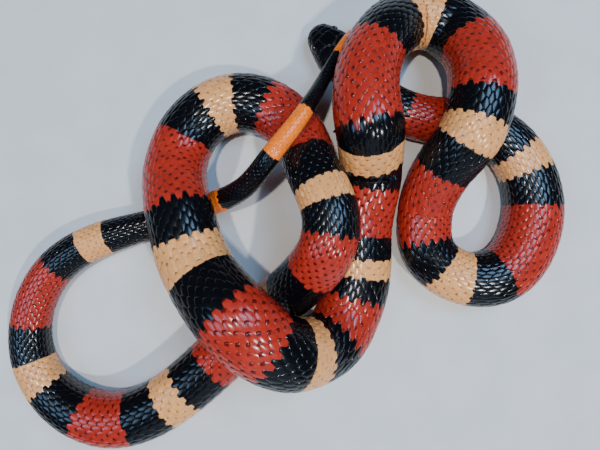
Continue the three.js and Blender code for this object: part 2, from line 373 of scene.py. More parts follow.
def power_setting(name, description, power):
    return FloatProperty(name=name, description=description, default=power, unit="POWER")


class SnakeSettings(bpy.types.PropertyGroup):
    """Sizes and colours of the snake's coat and of the studio."""

    coat_depth: size_setting("Coat depth", "How far the skin lies under the outer surface", 0.55)
    scale_lift: size_setting("Scale lift", "How much higher a scale's free end lies than its root", 0.32)
    groove: size_setting("Groove", "Gap between two head shields", 0.1)
    # The black carries a faint navy tint, a painted reflection of the cool window light; the rest is the
    # rings' own black.
    black: colour_setting("Black rings", "Colour of head and black rings", (0.028, 0.031, 0.046))
    red: colour_setting("Red rings", "Colour of the red rings", (0.64, 0.165, 0.115))
    cream: colour_setting("Cream rings", "Colour of the cream rings", (0.88, 0.6, 0.355))
    orange: colour_setting("Tail rings", "Colour of the pale rings of the tail", (0.96, 0.46, 0.09))
    window_power: power_setting("Window", "Power of the cool light at the back right", 3.0)
    lamp_power: power_setting("Lamps", "Power of each of the two small overhead lights", 3.3)
    side_power: power_setting("Left window", "Power of the cool light at the left", 1.3)
    fill_power: power_setting("Fill", "Power of the low light at the front", 0.7)
    sky: FloatProperty(name="Sky", description="Strength of the even light from all round", default=0.05)


# How dark the tip of each scale is, by the colour of its ring
TIP_STRENGTH = {"black": 0.0, "red": 1.0, "cream": 0.5, "orange": 0.2}
COLOURS = list(TIP_STRENGTH)
RING_ENDS = np.concatenate([np.ravel(TRUNK_RINGS), np.ravel(TAIL_RINGS)])
RING_NAMES = ("black", "cream", "black", "red") * len(TRUNK_RINGS) + ("black", "orange") * len(TAIL_RINGS)
RING_KINDS = np.array([COLOURS.index(name) for name in RING_NAMES])
# How straight a border of two rings is, from 0 where it steps by whole plates to 1: where red meets
# another colour, where it doesn't, and on the belly
RED_STRAIGHT = 0.4
PALE_STRAIGHT = 0.6
BELLY_STRAIGHT = 0.3
# How far a plate's own place in the rings lies behind its root and strays, in millimetres
ROOT_TO_BORDER = 0.5
BORDER_JITTER = 0.25
# Least and most strength of one plate's dark tip, and the spread of its shade
TIP_RANGE = (0.75, 1.25)
SHADE_SPREAD = 0.05


def linear(colour):
    """A colour as shown on a screen, turned to amounts of light."""
    colour = np.asarray(colour, float)
    return np.where(colour < 0.04045, colour / 12.92, ((colour + 0.055) / 1.055) ** 2.4)


def palette(settings):
    return np.array([linear(getattr(settings, name)) for name in COLOURS])


def ring_edges(length):
    """For each length the nearest border of two rings: where it is, and the colours before and after it."""
    border = np.searchsorted((RING_ENDS[:-1] + RING_ENDS[1:]) / 2, length)
    border = np.clip(border, 0, len(RING_ENDS) - 2)
    return RING_ENDS[border], RING_KINDS[border], RING_KINDS[border + 1]


def mark_rings(place, root, settings, rng, straight=None):
    """Colours for plates by where their points and roots lie along the body. Each plate carries the colours
    on both sides of the nearest border and its points' distance past it; a share of that distance is the
    root's own, so that the border steps from plate to plate, most of all where it meets red."""
    border, before, after = ring_edges(root)
    red = COLOURS.index("red")
    share = np.where((before == red) | (after == red), RED_STRAIGHT, PALE_STRAIGHT)
    if straight is not None:
        share = np.full(len(root), straight)
    own = root + ROOT_TO_BORDER + BORDER_JITTER * rng.normal(0, 1, len(root))
    edge = share[:, None] * place + ((1 - share) * own - border)[:, None]
    strength = np.array(list(TIP_STRENGTH.values()))
    tip = np.where(edge > 0, strength[after][:, None], strength[before][:, None])
    tip = tip * rng.uniform(*TIP_RANGE, (len(root), 1))
    shade = 1 + SHADE_SPREAD * rng.normal(0, 1, (len(root), 1))
    points = place.shape[1]
    colours = palette(settings)
    return {
        "tone": np.repeat(colours[before] * shade, points, axis=0),
        "tone_next": np.repeat(colours[after] * shade, points, axis=0),
        "edge": edge.ravel(),
        "tip": tip.ravel(),
    }


def new_piece(name, points, faces, uv, marks, material, flat=()):
    """A mesh on the body from points and blocks of faces, with its bake map, given for each point or in
    blocks for each corner of the faces, and colours and numbers kept at its points. The blocks of faces
    are smooth, apart from those named flat."""
    mesh = bpy.data.meshes.new(name)
    sizes = np.concatenate([np.full(len(block), block.shape[1]) for block in faces])
    corners = np.concatenate([block.ravel() for block in faces])
    starts = np.concatenate([[0], np.cumsum(sizes)[:-1]])
    mesh.vertices.add(len(points))
    mesh.vertices.foreach_set("co", np.asarray(points, np.float32).ravel())
    mesh.loops.add(len(corners))
    mesh.loops.foreach_set("vertex_index", corners.astype(np.int32))
    mesh.polygons.add(len(sizes))
    mesh.polygons.foreach_set("loop_start", starts.astype(np.int32))
    mesh.update(calc_edges=True)
    smooth = np.concatenate([np.full(len(block), k not in flat) for k, block in enumerate(faces)])
    mesh.polygons.foreach_set("use_smooth", smooth)
    layer = mesh.uv_layers.new(name="OFBake")
    if not isinstance(uv, list):
        uv = [uv[block] for block in faces]
    uv = np.concatenate([block.ravel() for block in uv])
    layer.data.foreach_set("uv", uv.astype(np.float32))
    for key, values in marks.items():
        if np.ndim(values) == 2:
            values = np.concatenate([values, np.ones((len(values), 1))], axis=1)
            attribute = mesh.attributes.new(key, "FLOAT_COLOR", "POINT")
            attribute.data.foreach_set("color", values.astype(np.float32).ravel())
        else:
            attribute = mesh.attributes.new(key, "FLOAT", "POINT")
            attribute.data.foreach_set("value", np.asarray(values, np.float32))
    if mesh.validate():
        raise RuntimeError(name + " has faces that Blender had to mend")
    mesh.materials.append(material)
    piece = bpy.data.objects.new(name, mesh)
    bpy.context.scene.collection.objects.link(piece)
    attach(piece, "root")
    return piece


def tube_faces(rings, around):
    """Faces of a tube of closed rings of points, quads and a fan at either end to two last points, and the
    ring and column of each of their corners. Columns run on to the far side of the last one, and the
    middles of the ends lie half a ring beyond."""
    ring, column = np.meshgrid(np.arange(rings - 1), np.arange(around), indexing="ij")
    fan = np.arange(around)[:, None]
    places = [
        (ring.reshape(-1, 1) + (0, 1, 1, 0), column.reshape(-1, 1) + (0, 0, 1, 1)),
        (0 * fan + (-0.5, 0, 0), fan + (0.5, 0, 1)),
        (0 * fan + (rings - 0.5, rings - 1, rings - 1), fan + (0.5, 1, 0)),
    ]
    faces = []
    for ring, column in places:
        point = ring * around + column % around
        point = np.where(ring < 0, rings * around, point)
        point = np.where(ring > rings - 1, rings * around + 1, point)
        faces.append(point.astype(int))
    return faces, places


SKIN_AROUND = 48
SKIN_SHADE = 0.35
SKIN_STRIPS = 9
STRIP_FILL = 0.98
# Depth of the coat on the head, as a share of the body's, and where it grows to the body's
HEAD_COAT = 0.35
NAPE = (12, 20)


def build_skin(settings, material):
    """One closed tube under the scales: the body's outer surface drawn in by the depth of the coat, and by
    less on the head, where the shields are thin."""
    # Rings are a millimetre apart, and closer on the head and at the tail's tip
    length = np.concatenate([
        0.05 + np.linspace(0, 1, 40) ** 1.6 * 26,
        np.arange(27.0, BODY_LENGTH - 1.6, 1.0),
        BODY_LENGTH - np.linspace(1.4, 0.1, 8),
    ])
    length, turn = np.meshgrid(length, np.arange(SKIN_AROUND) / SKIN_AROUND, indexing="ij")
    share = HEAD_COAT + (1 - HEAD_COAT) * ease(*NAPE, length)
    points = on_body(length, turn, -settings.coat_depth / MM * slimness(length) * share)
    ends = [points[0].mean(axis=0), points[-1].mean(axis=0)]
    points = np.concatenate([points.reshape(-1, 3), ends])
    rows = np.concatenate([length.ravel(), length[0, :1], length[-1, :1]])
    border, before, after = ring_edges(rows)
    colours = palette(settings) * SKIN_SHADE
    marks = {"tone": colours[before], "tone_next": colours[after], "edge": rows - border}
    faces, places = tube_faces(len(length), SKIN_AROUND)
    # The bake map folds the length into strips, so that each stays close to square on the skin
    uv = []
    for ring, column in places:
        share = np.interp(ring, np.arange(len(length)), length[:, 0]) / BODY_LENGTH * SKIN_STRIPS
        strip = np.floor(share.min(axis=1, keepdims=True))
        along = (share - strip) * STRIP_FILL
        uv.append(np.stack([along, (strip + column / SKIN_AROUND * STRIP_FILL) / SKIN_STRIPS], axis=-1))
    return new_piece("skin", points, faces, uv, marks, material)


def plate_faces(sides, rings):
    """Faces of one closed plate: a fan round its middle, rings of quads, the wall of the rim and the
    underside's fan."""
    k = np.arange(sides)
    after = (k + 1) % sides
    fan = np.stack([np.zeros(sides, int), 1 + k, 1 + after], axis=-1)
    ring = 1 + np.arange(rings)[:, None] * sides
    quads = np.stack([ring + k, ring + sides + k, ring + sides + after, ring + after], axis=-1)
    last = 1 + rings * sides
    under = np.stack([np.full(sides, last + sides), last + after, last + k], axis=-1)
    return fan, quads[:-1].reshape(-1, 4), quads[-1], under


def repeat_faces(blocks, count, points):
    """The faces of one plate for count plates of the same number of points."""
    shift = np.arange(count)[:, None, None] * points
    return [(block[None] + shift).reshape(-1, block.shape[1]) for block in blocks]


# Which blocks of a plate's faces are flat: its wall and its underside
PLATE_FLAT = (2, 3)
# One scale: points round it, its rings as shares of the outline, half length and half width as shares of
# the scales' pitch and spacing, the outline's power, and how much closer the points lie at the free end
SCALE_SIDES = 14
SCALE_RINGS = (0.5, 0.8, 1.0)
SCALE_LONG = 0.74
SCALE_WIDE = 1.02
SCALE_POINTED = 1.5
FREE_END_FINER = 0.45
# Heights in millimetres against the body's outer surface: the top, the falls to the rim and to the sides,
# and the depth of the rim's foot
SCALE_TOP = -0.06
RIM_FALL = 0.2
SIDE_FALL = 0.12
RIM_DEPTH = 0.75
# Half of a plate's size on the bake map, as a share of its cell
CELL_SHARE = 0.44
# Spread of one scale's length and width as shares, and of its height and sideways tilt in millimetres
SIZE_JITTER = 0.02
HEIGHT_JITTER = 0.012
TILT_JITTER = 0.02


def cell_map(column, row, u, v, cells):
    """Places on a bake map that has a cell for each plate, from the points' places on the plate."""
    across = (column[:, None] + 0.5 + u * CELL_SHARE) / cells[0]
    upward = (row[:, None] + 0.5 + v * CELL_SHARE) / cells[1]
    return np.stack([across, upward], axis=-1).reshape(-1, 2)


def scale_pattern(lift):
    """Places on one scale: u tailward, v sideways, and height. The outline is |u|^n + |v|^n = 1; the height
    is a slope up to the free end, less the cube of the distance from the middle, so that the rim rounds
    over, and less the square of v; then come the rim's foot and the middle of the underside."""
    angle = np.arange(SCALE_SIDES) / SCALE_SIDES * 2 * math.pi
    angle = angle - FREE_END_FINER * np.sin(angle)
    outline = np.stack([np.cos(angle), np.sin(angle)])
    outline = np.sign(outline) * np.abs(outline) ** (2 / SCALE_POINTED)
    shares = np.array(SCALE_RINGS)
    rings = (shares[:, None] * outline[:, None, :]).reshape(2, -1)
    u, v = np.concatenate([np.zeros((2, 1)), rings, outline, np.zeros((2, 1))], axis=1)
    rho = np.concatenate([[0], np.repeat(shares, SCALE_SIDES), np.ones(SCALE_SIDES + 1)])
    height = SCALE_TOP + lift * (u - 1) / 2 - RIM_FALL * rho**3 - SIDE_FALL * v**2
    height[-SCALE_SIDES - 1 :] = -RIM_DEPTH
    return u, v, height


def build_scales(name, spots, cells, settings, rng, material):
    """Scales at many places, each a rounded rhomb that lies tailward over the next. spots has the columns
    length, turn, half length, half width, and its cell's column and row on the bake map."""
    length, turn, long, wide, column, row = spots.T
    total = len(length)
    u, v, height = scale_pattern(settings.scale_lift / MM)
    jitter = rng.normal(0, 1, (total, 4))
    place_length = length[:, None] + u * (long * (1 + SIZE_JITTER * jitter[:, 0]))[:, None]
    place_turn = turn[:, None] + v * (wide * (1 + SIZE_JITTER * jitter[:, 1]))[:, None]
    lift = height + HEIGHT_JITTER * jitter[:, 2:3] + TILT_JITTER * jitter[:, 3:4] * v
    points = on_body(place_length, place_turn, lift * slimness(length)[:, None]).reshape(-1, 3)
    faces = repeat_faces(plate_faces(SCALE_SIDES, len(SCALE_RINGS)), total, len(u))
    marks = mark_rings(place_length, length, settings, rng)
    marks.update(along=np.tile(u, total), aside=np.tile(v, total))
    return new_piece(name, points, faces, cell_map(column, row, u, v, cells), marks, material, PLATE_FLAT)


# Narrower scales are left out
LEAST_WIDTH = 0.3


def side_by_side(*values):
    """Values side by side, single numbers repeated to the length of the others."""
    return np.stack(np.broadcast_arrays(*values), axis=-1)


def lattice(low, high):
    """Places of the back and side scales with roots between two lengths: rows along the body, every second
    one set back by half a scale."""
    first, last = np.interp([low, high], LENGTH, COUNT)
    spots = []
    for row in range(-LAST_ROW, LAST_ROW + 1):
        back = 0.5 * (abs(row) % 2)
        count = np.arange(math.ceil(first - back), math.ceil(last - back)) + back
        length = np.interp(count, COUNT, LENGTH)
        middle, spacing = rows_at(length)
        middle, spacing = middle[:, abs(row)], spacing[:, abs(row)]
        keep = (length > ROWS_BEGIN[abs(row)]) & (length < BODY_LENGTH - TAIL_END)
        keep &= spacing * girth_at(length) > LEAST_WIDTH * slimness(length)
        column = count - math.floor(first) + 0.5
        long, wide = pitch_at(length) * SCALE_LONG, spacing * SCALE_WIDE
        spot = side_by_side(length, np.sign(row) * middle, long, wide, column, row + LAST_ROW)
        spots.append(spot[keep])
    return np.concatenate(spots), (math.ceil(last) - math.floor(first) + 2, 2 * LAST_ROW + 1)


# Which blocks of a slab's faces are flat: its underside and its wall
SLAB_FLAT = (1, 2)
# One belly plate: points along and across it, half length as a share of the pitch, and in millimetres the
# rise to the free end and the fall to the sides
BELLY_ROWS = 4
BELLY_COLUMNS = 13
BELLY_LONG = 0.62
BELLY_LIFT = 0.3
BELLY_SIDE_FALL = 0.25
# How much shorter a plate is at its sides, as a share
BELLY_SIDE_SHORTER = 0.3
BELLY_BEGIN = 18.5
# How far plates reach under the lowest scales, and paired plates over each other, in turns
TUCK = 0.012
# Belly plates lie in cells this many times as wide as long on the bake map
CELL_WIDE_TO_LONG = 6


def slab_faces(rows, columns):
    """Faces of one closed slab: a top grid, the same grid below it, and the wall round them."""
    index = np.arange(rows * columns).reshape(rows, columns)
    top = np.stack([index[:-1, :-1], index[1:, :-1], index[1:, 1:], index[:-1, 1:]], axis=-1).reshape(-1, 4)
    loop = np.concatenate([index[0, :-1], index[:-1, -1], index[-1, :0:-1], index[:0:-1, 0]])
    after = np.roll(loop, -1)
    below = rows * columns
    wall = np.stack([loop, after, after + below, loop + below], axis=-1)
    return top, top[:, ::-1] + below, wall


def build_belly_plates(name, count, turn_from, turn_to, settings, rng, material):
    """Plates across the belly at many counts of scales, each from one turn to another. Height rises in a
    straight slope to the free end and falls with the eighth power of the place across."""
    length = np.interp(count, COUNT, LENGTH)
    total = len(length)
    u, v = np.meshgrid(np.linspace(-1, 1, BELLY_ROWS), np.linspace(-1, 1, BELLY_COLUMNS), indexing="ij")
    u, v = u.ravel(), v.ravel()
    shorter = 1 - BELLY_SIDE_SHORTER * v**8
    place_length = length[:, None] + (pitch_at(length) * BELLY_LONG)[:, None] * u * shorter
    place_turn = ((turn_from + turn_to) / 2)[:, None] + ((turn_to - turn_from) / 2)[:, None] * v
    height = BELLY_LIFT * (u - 1) / 2 - BELLY_SIDE_FALL * v**8
    thin = slimness(length)[:, None]
    top = on_body(place_length, place_turn, height * thin)
    below = on_body(place_length, place_turn, -RIM_DEPTH * thin)
    points = np.concatenate([top, below], axis=1).reshape(-1, 3)
    faces = repeat_faces(slab_faces(BELLY_ROWS, BELLY_COLUMNS), total, 2 * len(u))
    marks = mark_rings(np.tile(place_length, 2), length, settings, rng, BELLY_STRAIGHT)
    marks.update(tip=np.zeros(len(points)))
    strips = math.ceil(math.sqrt(total / CELL_WIDE_TO_LONG))
    per_strip = math.ceil(total / strips)
    order = np.argsort(np.argsort(count, kind="stable"), kind="stable")
    uv = cell_map(order % per_strip, order // per_strip, np.tile(u, 2), np.tile(v, 2), (per_strip, strips))
    return new_piece(name, points, faces, uv, marks, material, SLAB_FLAT)


# Head shields: corners as distance from the snout and degrees from the crown's midline.
# The frontal is a whole outline, the others are those of the right side and are mirrored.
LIP_EDGES = (1.0, 2.3, 3.6, 5.1, 7.0, 9.3, 12.0, 15.3)
CHIN_EDGES = (1.0, 2.0, 3.2, 4.6, 6.3, 8.4, 10.8, 13.0, 15.3)
LIP_TOP = ((1, 74), (2.8, 85), (4.5, 86), (6, 84.5), (7.5, 86), (10, 86), (13, 85), (15.5, 88))
CHIN_DEPTH = 19
FRONTAL = ((5.1, 0), (5.3, 19), (7.4, 18.5), (9.2, 15), (10.6, 0), (9.2, -15), (7.4, -18.5), (5.3, -19))
# Left halves of the two shields at the tip of the snout, seen from the front: across, height
FRONT_SHIELDS = {
    "rostral": (
        (0, 4.1), (0.6, 4.05), (1.3, 3.85), (2.9, 3.8), (3.1, 4.9), (2.55, 5.95), (1.25, 6.85), (0, 7.25),
    ),
    "mental": ((0, 1.2), (1.0, 1.35), (2.1, 1.8), (2.8, 2.8), (2.75, 3.5), (1.3, 3.5), (0, 3.7)),
}
PAIRED_SHIELDS = {
    "internasal": ((1.8, 0), (1.4, 14), (1.05, 40), (1.9, 43), (3.0, 38), (3.2, 0)),
    "prefrontal": ((3.2, 0), (3.05, 38), (3.3, 55), (4.5, 55), (5.2, 44), (5.3, 19), (5.1, 0)),
    "prenasal": ((1.05, 44), (1.02, 74), (1.75, 79), (1.72, 67), (1.62, 60), (1.75, 53), (1.9, 43)),
    "postnasal": ((1.95, 43), (2.1, 55), (2.2, 61), (2.1, 68), (1.8, 79), (2.8, 85), (3.2, 72), (3.1, 42)),
    "loreal": ((3.2, 57), (3.2, 72), (2.9, 85), (4.0, 86), (4.1, 70), (4.1, 57)),
    "preocular": ((4.15, 57), (4.15, 70), (4.05, 86), (4.75, 85), (4.4, 69), (4.75, 55), (4.6, 52)),
    "supraocular": (
        (5.3, 20), (5.2, 44), (4.7, 51), (6.0, 52.5), (7.4, 51), (8.9, 42), (9.2, 16), (7.4, 19.5),
    ),
    "upper_postocular": ((7.3, 52.5), (7.65, 68), (8.8, 67), (8.95, 43)),
    "lower_postocular": ((7.65, 69), (7.25, 85.5), (8.9, 86), (8.8, 68)),
    "parietal": ((10.7, 0), (9.3, 15), (9.0, 42), (9.7, 52), (12.3, 49), (15.2, 38), (16.4, 20), (16.2, 0)),
    "temporal_1": ((8.95, 44), (8.85, 67.5), (11.3, 67.5), (11.6, 50.5), (9.7, 52.5)),
    "temporal_2": ((8.85, 68.5), (8.95, 86), (11.1, 86), (11.3, 68.5)),
    "temporal_3": ((11.7, 50), (11.4, 62), (13.8, 62), (14.3, 43), (12.3, 49.5)),
    "temporal_4": ((11.4, 62.5), (11.25, 74), (13.6, 74), (13.8, 62.5)),
    "temporal_5": ((11.25, 74.5), (11.1, 86), (13.7, 85), (13.6, 74.5)),
    "front_chin_shield": ((1.5, 180), (1.2, 152), (2.2, 133), (4.6, 127), (6.3, 140), (6.6, 180)),
    "rear_chin_shield": ((6.65, 180), (6.4, 141), (6.6, 129), (8.8, 134), (10.2, 158), (10.4, 180)),
}
# One head shield: points round it, its rings as shares of the outline, and in millimetres the height of its
# middle, the fall to the rim, the depth of the rim's foot, and the spread of heights
SHIELD_POINTS = 36
SHIELD_RINGS = (0.4, 0.75, 0.92, 1.0)
SHIELD_TOP = 0.05
SHIELD_FALL = 0.1
SHIELD_FOOT = 0.45
SHIELD_HEIGHT_JITTER = 0.015
SHIELD_SHADE_SPREAD = 0.08
# Degrees round the head in a millimetre of its surface, for even spacing of a shield's points
DEGREES_PER_MM = 8.0
# Degrees between the mouth line and the shields of each lip, and how far those slant, in millimetres
LIP_GAP = 1.4
LIP_SLANT = 0.12
# How far back the shields at the snout's tip can reach, and how often that range is halved
FRONT_REACH = 4.0
HALVINGS = 30


def lip_shields():
    """Outlines of the shields along both lips, between the mouth line and their outer edges."""
    mouth = np.array(MOUTH_LINE, float).T
    top = np.array(LIP_TOP, float).T
    shields = []
    for edges, sign in ((LIP_EDGES, -1), (CHIN_EDGES, 1)):
        for start, end in zip(edges[:-1], edges[1:]):
            at = np.array([start, (start + end) / 2, end])
            lip = np.interp(at, *mouth) + sign * LIP_GAP
            outer = np.interp(at, *top) if sign < 0 else np.interp(at, *mouth) + CHIN_DEPTH
            outer_row = side_by_side(at + sign * LIP_SLANT, outer)[::-1]
            shields.append(np.concatenate([side_by_side(at, lip), outer_row]))
    return shields


def from_front(across, up):
    """Distance from the snout and degrees round of the head's surface behind places seen from the front,
    found by halving the range of distances in which the section grows past each place."""
    low = np.zeros(across.shape)
    high = np.full(across.shape, FRONT_REACH)
    for _ in range(HALVINGS):
        length = (low + high) / 2
        half_height = (head_column(2, length) - head_column(3, length)) / 2
        middle = (head_column(2, length) + head_column(3, length)) / 2
        sideways = np.abs(across / head_column(1, length)) ** (HEAD_ROUNDNESS / 2)
        upward = np.abs((up - middle) / half_height) ** (HEAD_ROUNDNESS / 2)
        outside = sideways**2 + upward**2 > 1
        low = np.where(outside, length, low)
        high = np.where(outside, high, length)
    angle = np.degrees(np.arctan2(sideways, upward * np.sign(up - middle)))
    return np.stack([length, np.sign(across + 1e-9) * angle], axis=-1)


def round_outline(corners, groove):
    """Even points round a polygon, its corners rounded by averaging neighbours, drawn in by half a groove.
    The polygon is closed and worked in millimetres, length against arc."""
    closed = np.concatenate([corners, corners[:1]])
    way = np.concatenate([[0], np.cumsum(np.linalg.norm(np.diff(closed, axis=0), axis=1))])
    at = np.arange(SHIELD_POINTS) / SHIELD_POINTS * way[-1]
    outline = np.stack([np.interp(at, way, closed[:, 0]), np.interp(at, way, closed[:, 1])], axis=-1)
    outline = (np.roll(outline, 1, axis=0) + 2 * outline + np.roll(outline, -1, axis=0)) / 4
    middle = outline.mean(axis=0)
    span = outline - middle
    outline = middle + span * (1 - groove / 2 / np.linalg.norm(span, axis=1, keepdims=True))
    after = np.roll(outline, -1, axis=0)
    area = (outline[:, 0] * after[:, 1] - after[:, 0] * outline[:, 1]).sum()
    if area < 0:
        outline = outline[::-1]
    shares = np.array(SHIELD_RINGS)
    rings = (middle + shares[:, None, None] * (outline - middle)).reshape(-1, 2)
    return np.concatenate([middle[None], rings, outline, middle[None]])


def black_marks(settings, shade):
    """Marks for points that are all of the head's black, each with its own shade."""
    tones = palette(settings)[:1] * shade[:, None]
    return {"tone": tones, "tone_next": tones}


def build_shields(settings, rng, material):
    """Head shields, each a closed plate on the head: rings from its middle to its rounded outline, with a
    height that falls with the sixth power of the share from middle to rim."""
    groove = settings.groove / MM
    shields = []
    for half in FRONT_SHIELDS.values():
        left = np.array(half, float)
        outline = np.concatenate([left, (left * (-1, 1))[-2:0:-1]])
        place = round_outline(outline, groove)
        shields.append((from_front(-place[:, 0], place[:, 1]), place))
    outlines = [np.array(FRONTAL, float)]
    for outline in lip_shields() + [np.array(outline, float) for outline in PAIRED_SHIELDS.values()]:
        outlines += [outline, outline * (1, -1)]
    for outline in outlines:
        place = round_outline(outline / (1, DEGREES_PER_MM), groove)
        shields.append((place * (1, DEGREES_PER_MM), place))
    shares = np.array(SHIELD_RINGS)
    rho = np.concatenate([[0], np.repeat(shares, SHIELD_POINTS), np.ones(SHIELD_POINTS + 1)])
    height = SHIELD_TOP - SHIELD_FALL * rho**6
    height[-SHIELD_POINTS - 1 :] = -SHIELD_FOOT
    cells = []
    across = math.ceil(math.sqrt(len(shields)))
    for k, (_, place) in enumerate(shields):
        span = place - place[0]
        cell = np.array((k % across, k // across)) + 0.5
        cells.append((cell + CELL_SHARE * span / np.abs(span).max(axis=0)) / across)
    places = np.stack([place for place, _ in shields])
    lift = height[None] + SHIELD_HEIGHT_JITTER * rng.normal(0, 1, (len(shields), 1))
    points = on_body(places[..., 0], turn_of(places[..., 1]), lift).reshape(-1, 3)
    # The chin lies flat on the floor
    points[:, 2] = np.maximum(points[:, 2], 0)
    faces = repeat_faces(plate_faces(SHIELD_POINTS, len(SHIELD_RINGS)), len(shields), len(rho))
    shade = 1 + SHIELD_SHADE_SPREAD * rng.normal(0, 1, len(shields))
    marks = black_marks(settings, np.repeat(shade, len(rho)))
    return new_piece("head_shields", points, faces, np.concatenate(cells), marks, material, PLATE_FLAT)


# The throat's rows of small scales: degrees from the crown to the first and between rows, where it and
# the rows under it begin, where all end, and the scales' pitch
THROAT_TOP = 124
THROAT_STEP = 8
THROAT_BEGIN = ((THROAT_TOP, 140, 180), (6.0, 9.3, 11.2))
THROAT_END = 19.5
THROAT_PITCH = 2.1
THROAT_CELLS = (8, 20)


def throat_spots():
    """Places of the small scales of the throat, from the chin shields to the first belly plate."""
    spots = []
    for row, degrees in enumerate(np.arange(THROAT_TOP, 181, THROAT_STEP)):
        back = 0.5 * (row % 2)
        begin = np.interp(degrees, *THROAT_BEGIN)
        length = np.arange(begin, THROAT_END, THROAT_PITCH) + back * THROAT_PITCH
        turn = turn_of(min(degrees, 179.9))
        spacing = abs(turn_of(degrees - THROAT_STEP / 2) - turn_of(degrees + 0.01 - THROAT_STEP)) * 2
        long, wide = THROAT_PITCH * SCALE_LONG, spacing * SCALE_WIDE
        column = np.arange(len(length)) + back
        # The last row lies on the midline and has no mirror image
        for sign in (1, -1) if degrees < 180 else (1,):
            cell_row = THROAT_CELLS[1] / 2 - 1 + sign * (row + 1)
            spots.append(side_by_side(length, sign * turn, long, wide, column, cell_row))
    return np.concatenate(spots), THROAT_CELLS


DISC_RADIUS = 0.48
EYE_RINGS = 28
EYE_AROUND = 40
# Shares of up and headward in the way the eyes look
LOOK_UP = 0.18
LOOK_AHEAD = 0.16


def circle(count):
    """Angles at even steps round a circle."""
    return np.arange(count) / count * 2 * math.pi


def disc_map(ring, column, rings, around):
    """Places on a bake map that shows a closed tube of rings from its one end, with its other end spread
    round the edge."""
    reach = np.clip(ring / (rings - 1), 0, 1) * DISC_RADIUS
    way = column / around * 2 * math.pi
    return 0.5 + np.stack([reach * np.cos(way), reach * np.sin(way)], axis=-1)


def eye_place(side):
    """Middle of an eye and the way it looks: out to the side, a little up and forward, in millimetres."""
    index = np.searchsorted(LENGTH, EYE_BEHIND_SNOUT)
    middle = BELLY[index] + side * EYE_OUT * RIGHT[index] + EYE_HEIGHT * UP[index]
    look = unit(side * RIGHT[index] + LOOK_UP * UP[index] - LOOK_AHEAD * TAILWARD[index])
    across = unit(np.cross(UP[index], look))
    return middle, look, across, np.cross(look, across)


def build_eye(name, side, material):
    """An eyeball: a sphere in rings round the way it looks, with each ring's angle kept for the iris."""
    middle, look, across, upward = eye_place(side)
    angle = np.linspace(0.03, math.pi - 0.03, EYE_RINGS)[:, None, None]
    turn = circle(EYE_AROUND)[:, None]
    reach = np.cos(angle) * look + np.sin(angle) * (np.cos(turn) * across + np.sin(turn) * upward)
    poles = np.array([[1], [-1]]) * look
    points = (middle + EYE_RADIUS * np.concatenate([reach.reshape(-1, 3), poles])) * MM
    gaze = np.concatenate([np.repeat(np.degrees(angle.ravel()), EYE_AROUND), [0, 180]])
    faces, places = tube_faces(EYE_RINGS, EYE_AROUND)
    uv = [disc_map(ring, column, EYE_RINGS, EYE_AROUND) for ring, column in places]
    return new_piece(name, points, faces, uv, {"gaze": gaze}, material)


# The rims' rings: their middle's place along the way the eye looks, and half their thickness
RIM_OUT = 0.62
RIM_SIZE = 0.17
RIM_AROUND = 48
RIM_SIDES = 12


def build_eye_rims(settings, material):
    """A thin fold of skin round both eyes: a ring of round section lying where the ball leaves the head."""
    turn = circle(RIM_AROUND)[:, None, None]
    section = circle(RIM_SIDES)[:, None]
    blocks = []
    for side in (1, -1):
        middle, look, across, upward = eye_place(side)
        outward = np.cos(turn) * across + np.sin(turn) * upward
        ring = middle + look * RIM_OUT + outward * math.sqrt(EYE_RADIUS**2 - RIM_OUT**2)
        blocks.append(ring + RIM_SIZE * (np.cos(section) * outward + np.sin(section) * look))
    points = np.concatenate([block.reshape(-1, 3) for block in blocks]) * MM
    row, column = np.meshgrid(np.arange(RIM_AROUND), np.arange(RIM_SIDES), indexing="ij")
    row = row.reshape(-1, 1) + (0, 1, 1, 0)
    column = column.reshape(-1, 1) + (0, 0, 1, 1)
    face = row % RIM_AROUND * RIM_SIDES + column % RIM_SIDES
    faces = repeat_faces([face], 2, RIM_AROUND * RIM_SIDES)
    grid = np.stack([row / RIM_AROUND, column / RIM_SIDES / 2], axis=-1) * STRIP_FILL
    uv = [np.concatenate([grid, grid + (0, 0.5)])]
    return new_piece("eye_rims", points, faces, uv, black_marks(settings, np.ones(len(points))), material)


# Distance from the snout and degrees from the crown's midline
NOSTRIL_PLACE = (1.9, 61)
# Out from the nostril's middle and up from the snout, in millimetres
NOSTRIL_SECTION = (
    (0.1, -0.3), (0.22, -0.2), (0.27, 0), (0.33, 0.1), (0.42, 0.12), (0.5, 0.08), (0.54, -0.05), (0.5, -0.4),
)
NOSTRIL_AROUND = 24


def build_nostrils(settings, material):
    """Both nostrils: a small round fold with a hollow, turned from its section about the way out of the
    snout."""
    turn = circle(NOSTRIL_AROUND)[:, None]
    section = np.array(NOSTRIL_SECTION)
    blocks = []
    for side in (1, -1):
        length, degrees = NOSTRIL_PLACE
        at = np.array([length, length, length + 0.1])
        round_at = turn_of(side * np.array([degrees, degrees, degrees]))
        foot, top, behind = on_body(at, round_at, np.array([0, 1.0, 0])) / MM
        out = top - foot
        across = unit(np.cross(out, behind - foot))
        along = np.cross(out, across)
        reach = np.cos(turn) * across + np.sin(turn) * along
        ring = foot + section[:, :1, None] * reach + section[:, 1:, None] * out
        blocks += [ring.reshape(-1, 3), foot + section[:1, 1:] * out, foot + section[-1:, 1:] * out]
    points = np.concatenate(blocks) * MM
    tube, places = tube_faces(len(section), NOSTRIL_AROUND)
    faces = repeat_faces(tube, 2, len(points) // 2)
    uv = []
    for ring, column in places:
        half = disc_map(ring, column, len(section), NOSTRIL_AROUND) * (0.5, 1)
        uv.append(np.concatenate([half, half + (0.5, 0)]))
    return new_piece("nostrils", points, faces, uv, black_marks(settings, np.ones(len(points))), material)


